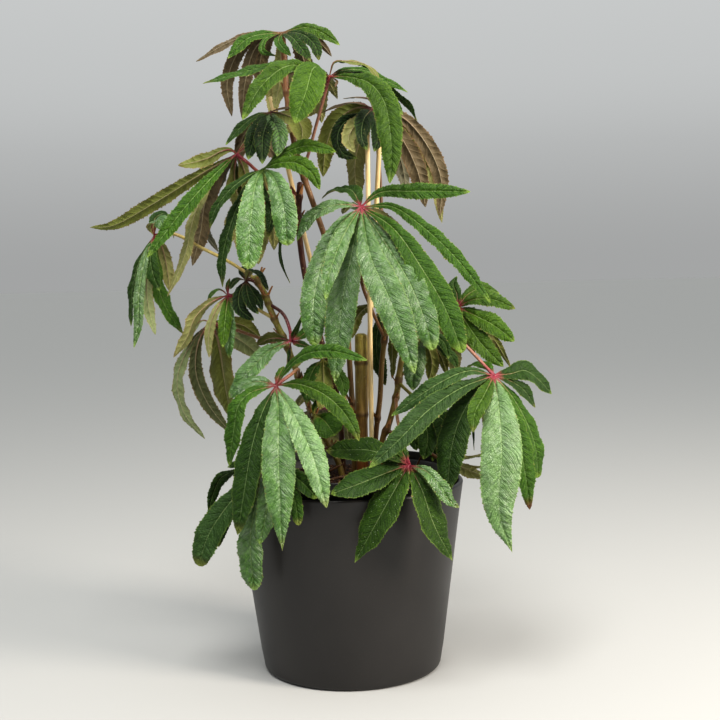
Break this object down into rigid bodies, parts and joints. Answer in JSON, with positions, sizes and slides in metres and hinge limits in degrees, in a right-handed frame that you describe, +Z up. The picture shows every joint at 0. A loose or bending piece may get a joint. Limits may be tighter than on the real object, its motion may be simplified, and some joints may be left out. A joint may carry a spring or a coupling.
{
  "type": "potted palm-leaf begonia",
  "caption": "Houseplant with palm-shaped leaves of narrow drooping leaflets on upright canes beside thin bamboo stakes, in a plastic growing pot inside a tapered charcoal cover pot.",
  "frame": {"origin": "centre of the cover pot's underside", "axes": "+Z up along the pot's axis, -Y towards the picture's viewer, +X to the picture's right"},
  "size_m": [0.3982, 0.2678, 0.5573],
  "materials": {
    "cover_pot": "satin",
    "growing_pot": "matte",
    "soil": "rough",
    "cane": "satin",
    "bamboo": "satin",
    "leaf": "satin"
  },
  "bodies": {
    "root": {"cover_pot": "cover_pot", "growing_pot": "growing_pot", "soil": "soil", "cane_main": "cane", "cane_tall": "cane", "cane_dark": "cane", "cane_left": "cane", "cane_right_back": "cane", "cane_right_front": "cane", "stake_centre": "bamboo", "stake_right": "bamboo", "stake_left": "bamboo", "leaf_crown": "leaf", "leaf_shoulder": "leaf", "leaf_top_right": "leaf", "leaf_upper_left": "leaf", "leaf_left_long": "leaf", "leaf_left_glossy": "leaf", "leaf_centre": "leaf", "leaf_far_left": "leaf", "leaf_left_drooping": "leaf", "leaf_left_lower": "leaf", "leaf_left_young": "leaf", "leaf_middle_left": "leaf", "leaf_front_left": "leaf", "leaf_pot_edge": "leaf", "leaf_right": "leaf", "leaf_front_low": "leaf", "leaf_right_upper": "leaf", "leaf_right_inner": "leaf", "leaf_centre_inner": "leaf", "leaf_left_inner": "leaf", "leaf_low_round": "leaf", "leaf_right_shaded": "leaf", "leaf_rim_right": "leaf", "leaf_back_crown": "leaf", "leaf_back_upper": "leaf", "leaf_back_left": "leaf", "leaf_back_right": "leaf", "leaf_back_low": "leaf"}
  },
  "joints": []
}
